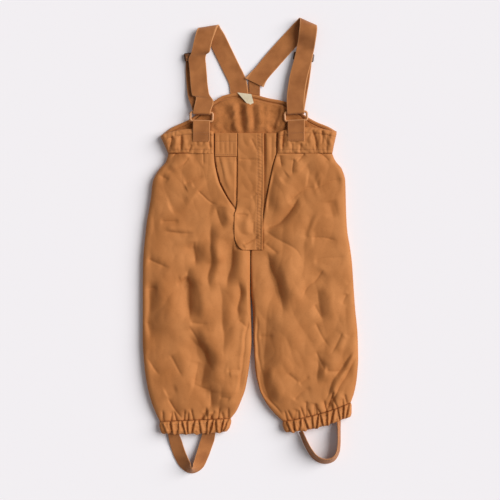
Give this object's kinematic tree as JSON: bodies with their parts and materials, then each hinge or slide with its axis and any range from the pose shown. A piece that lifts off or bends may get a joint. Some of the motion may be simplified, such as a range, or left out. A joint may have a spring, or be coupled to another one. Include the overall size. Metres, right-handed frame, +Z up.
{
  "type": "thermal trousers",
  "caption": "Child's padded thermal trousers laid flat, with gathered waist and ankle cuffs, a back bib, webbing braces on rings, and loops under the feet.",
  "frame": {"origin": "on the surface the garment lies on, under the middle of its bounding box", "axes": "+Y from the ankle cuffs towards the braces, +X towards the wearer's left, +Z up from the surface"},
  "size_m": [0.3438, 0.7282, 0.0218],
  "materials": {
    "shell": "satin caramel nylon, padded",
    "lining": "matt soft lining",
    "webbing": "matt woven webbing",
    "plastic": "satin",
    "label": "matt woven tape, bare"
  },
  "bodies": {
    "root": {"back_leg_right": "shell", "front_leg_right": "shell", "cuff_front_right": "shell", "cuff_back_right": "shell", "foot_loop_right": "webbing", "waistband_right": "shell", "tab_right": "webbing", "ring_right": "plastic", "slider_right": "plastic", "brace_right": "webbing", "back_leg_left": "shell", "front_leg_left": "shell", "cuff_front_left": "shell", "cuff_back_left": "shell", "foot_loop_left": "webbing", "waistband_left": "shell", "tab_left": "webbing", "ring_left": "plastic", "slider_left": "plastic", "brace_left": "webbing", "back_bib": "shell", "bib_lining": "lining", "fly_panel": "shell", "waist_facing": "shell", "fly_flap": "shell", "brace_patch": "webbing", "label": "label"}
  },
  "joints": []
}
